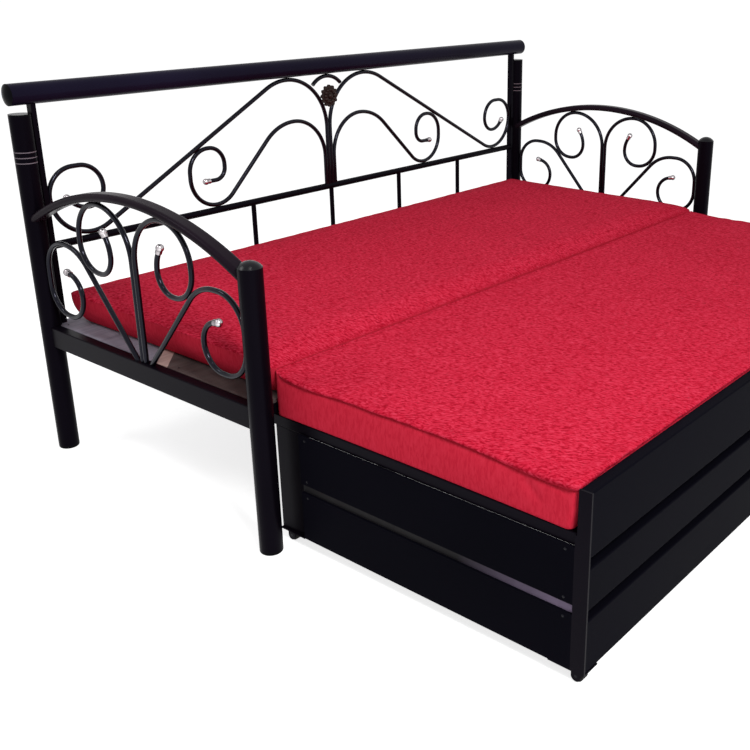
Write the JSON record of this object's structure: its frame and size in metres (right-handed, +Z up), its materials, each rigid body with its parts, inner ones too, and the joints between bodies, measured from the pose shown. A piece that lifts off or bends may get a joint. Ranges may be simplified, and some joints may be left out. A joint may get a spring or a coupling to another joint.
{
  "type": "sofa bed",
  "caption": "Metal sofa bed with a scrollwork back and arms, red mattress halves and a pull-out bed box on castors.",
  "frame": {"origin": "middle of the footprint on the floor, with the bed drawn out", "axes": "+X along the bed to its right end seen from the front, +Y towards the back panel, +Z up"},
  "size_m": [1.976, 1.5669, 0.913],
  "materials": {
    "black_powder_coat": "satin",
    "black_painted_board": "satin",
    "grey_primer": "satin",
    "black_casting": "satin",
    "black_plastic": "satin",
    "chrome": "polished",
    "screw_zinc": "satin",
    "grey_ply": "matte",
    "brown_ply": "matte",
    "pale_wood": "matte",
    "red_chenille": "matte",
    "castor_rubber": "matte"
  },
  "bodies": {
    "sofa_frame": {"back_posts": "black_powder_coat", "front_posts": "black_powder_coat", "back_post_caps": "black_plastic", "front_post_caps": "black_plastic", "leg_shoes": "black_plastic", "back_top_tube": "black_powder_coat", "top_tube_end_caps": "black_plastic", "back_side_bars": "black_powder_coat", "back_cross_rail": "black_powder_coat", "back_uprights": "black_powder_coat", "outer_back_scroll_left": "black_powder_coat", "outer_back_scroll_right": "black_powder_coat", "inner_back_scroll_left": "black_powder_coat", "inner_back_scroll_right": "black_powder_coat", "centre_arch": "black_powder_coat", "centre_medallion": "black_casting", "back_scroll_tips": "chrome", "back_panel_bolts": "black_powder_coat", "arm_top_tube_left": "black_powder_coat", "arm_top_tube_right": "black_powder_coat", "arm_lower_rail_left": "black_powder_coat", "arm_lower_rail_right": "black_powder_coat", "arm_inner_scrolls_left": "black_powder_coat", "arm_inner_scrolls_right": "black_powder_coat", "arm_outer_scrolls_left": "black_powder_coat", "arm_outer_scrolls_right": "black_powder_coat", "arm_scroll_tips": "chrome", "front_post_bolts": "black_powder_coat", "seat_rear_rail": "black_powder_coat", "seat_front_rail": "black_powder_coat", "seat_cross_members": "black_powder_coat", "seat_rear_board": "grey_ply", "seat_front_board": "brown_ply", "seat_joint_strip": "pale_wood", "seat_screws": "screw_zinc", "rear_mattress": "red_chenille"},
    "pull_out_box": {"box_front_posts": "black_powder_coat", "box_rear_posts": "black_powder_coat", "box_side_top_rails": "black_powder_coat", "box_side_middle_rails": "grey_primer", "box_side_bottom_rails": "black_powder_coat", "box_cross_rails": "black_powder_coat", "box_uprights": "black_powder_coat", "box_slats": "black_powder_coat", "bed_board": "brown_ply", "upper_side_sheet_left": "black_painted_board", "upper_side_sheet_right": "black_painted_board", "lower_side_sheet_left": "black_painted_board", "lower_side_sheet_right": "black_painted_board", "front_top_board": "black_painted_board", "front_middle_board": "black_painted_board", "front_bottom_board": "black_painted_board", "box_sheet_screws": "screw_zinc", "castor_brackets": "black_powder_coat", "castor_axles": "chrome"},
    "front_mattress_half": {"front_mattress": "red_chenille"},
    "wheel_front_left": {"castor_wheel_front_left": "castor_rubber"},
    "wheel_front_right": {"castor_wheel_front_right": "castor_rubber"},
    "wheel_rear_left": {"castor_wheel_rear_left": "castor_rubber"},
    "wheel_rear_right": {"castor_wheel_rear_right": "castor_rubber"}
  },
  "joints": [
    {"name": "pull_out_slide", "type": "slide", "parent": "sofa_frame", "child": "pull_out_box", "axis": [0, 1, 0], "range_m": [0, 0.737]},
    {"name": "mattress_fold", "type": "hinge", "parent": "sofa_frame", "child": "front_mattress_half", "pos_m": [0, -0.0205, 0.4046], "axis": [-1, 0, 0], "range_deg": [0, 180]},
    {"name": "wheel_spin_front_left", "type": "hinge", "parent": "pull_out_box", "child": "wheel_front_left", "pos_m": [-0.894, -0.7615, 0.0125], "axis": [1, 0, 0], "continuous": true},
    {"name": "wheel_spin_front_right", "type": "hinge", "parent": "pull_out_box", "child": "wheel_front_right", "pos_m": [0.894, -0.7615, 0.0125], "axis": [1, 0, 0], "continuous": true},
    {"name": "wheel_spin_rear_left", "type": "hinge", "parent": "pull_out_box", "child": "wheel_rear_left", "pos_m": [-0.894, -0.035, 0.0125], "axis": [1, 0, 0], "continuous": true},
    {"name": "wheel_spin_rear_right", "type": "hinge", "parent": "pull_out_box", "child": "wheel_rear_right", "pos_m": [0.894, -0.035, 0.0125], "axis": [1, 0, 0], "continuous": true}
  ],
  "couplings": [
    {"joint": "mattress_fold", "follows": "pull_out_slide", "rad_per_m": 4.26}
  ]
}
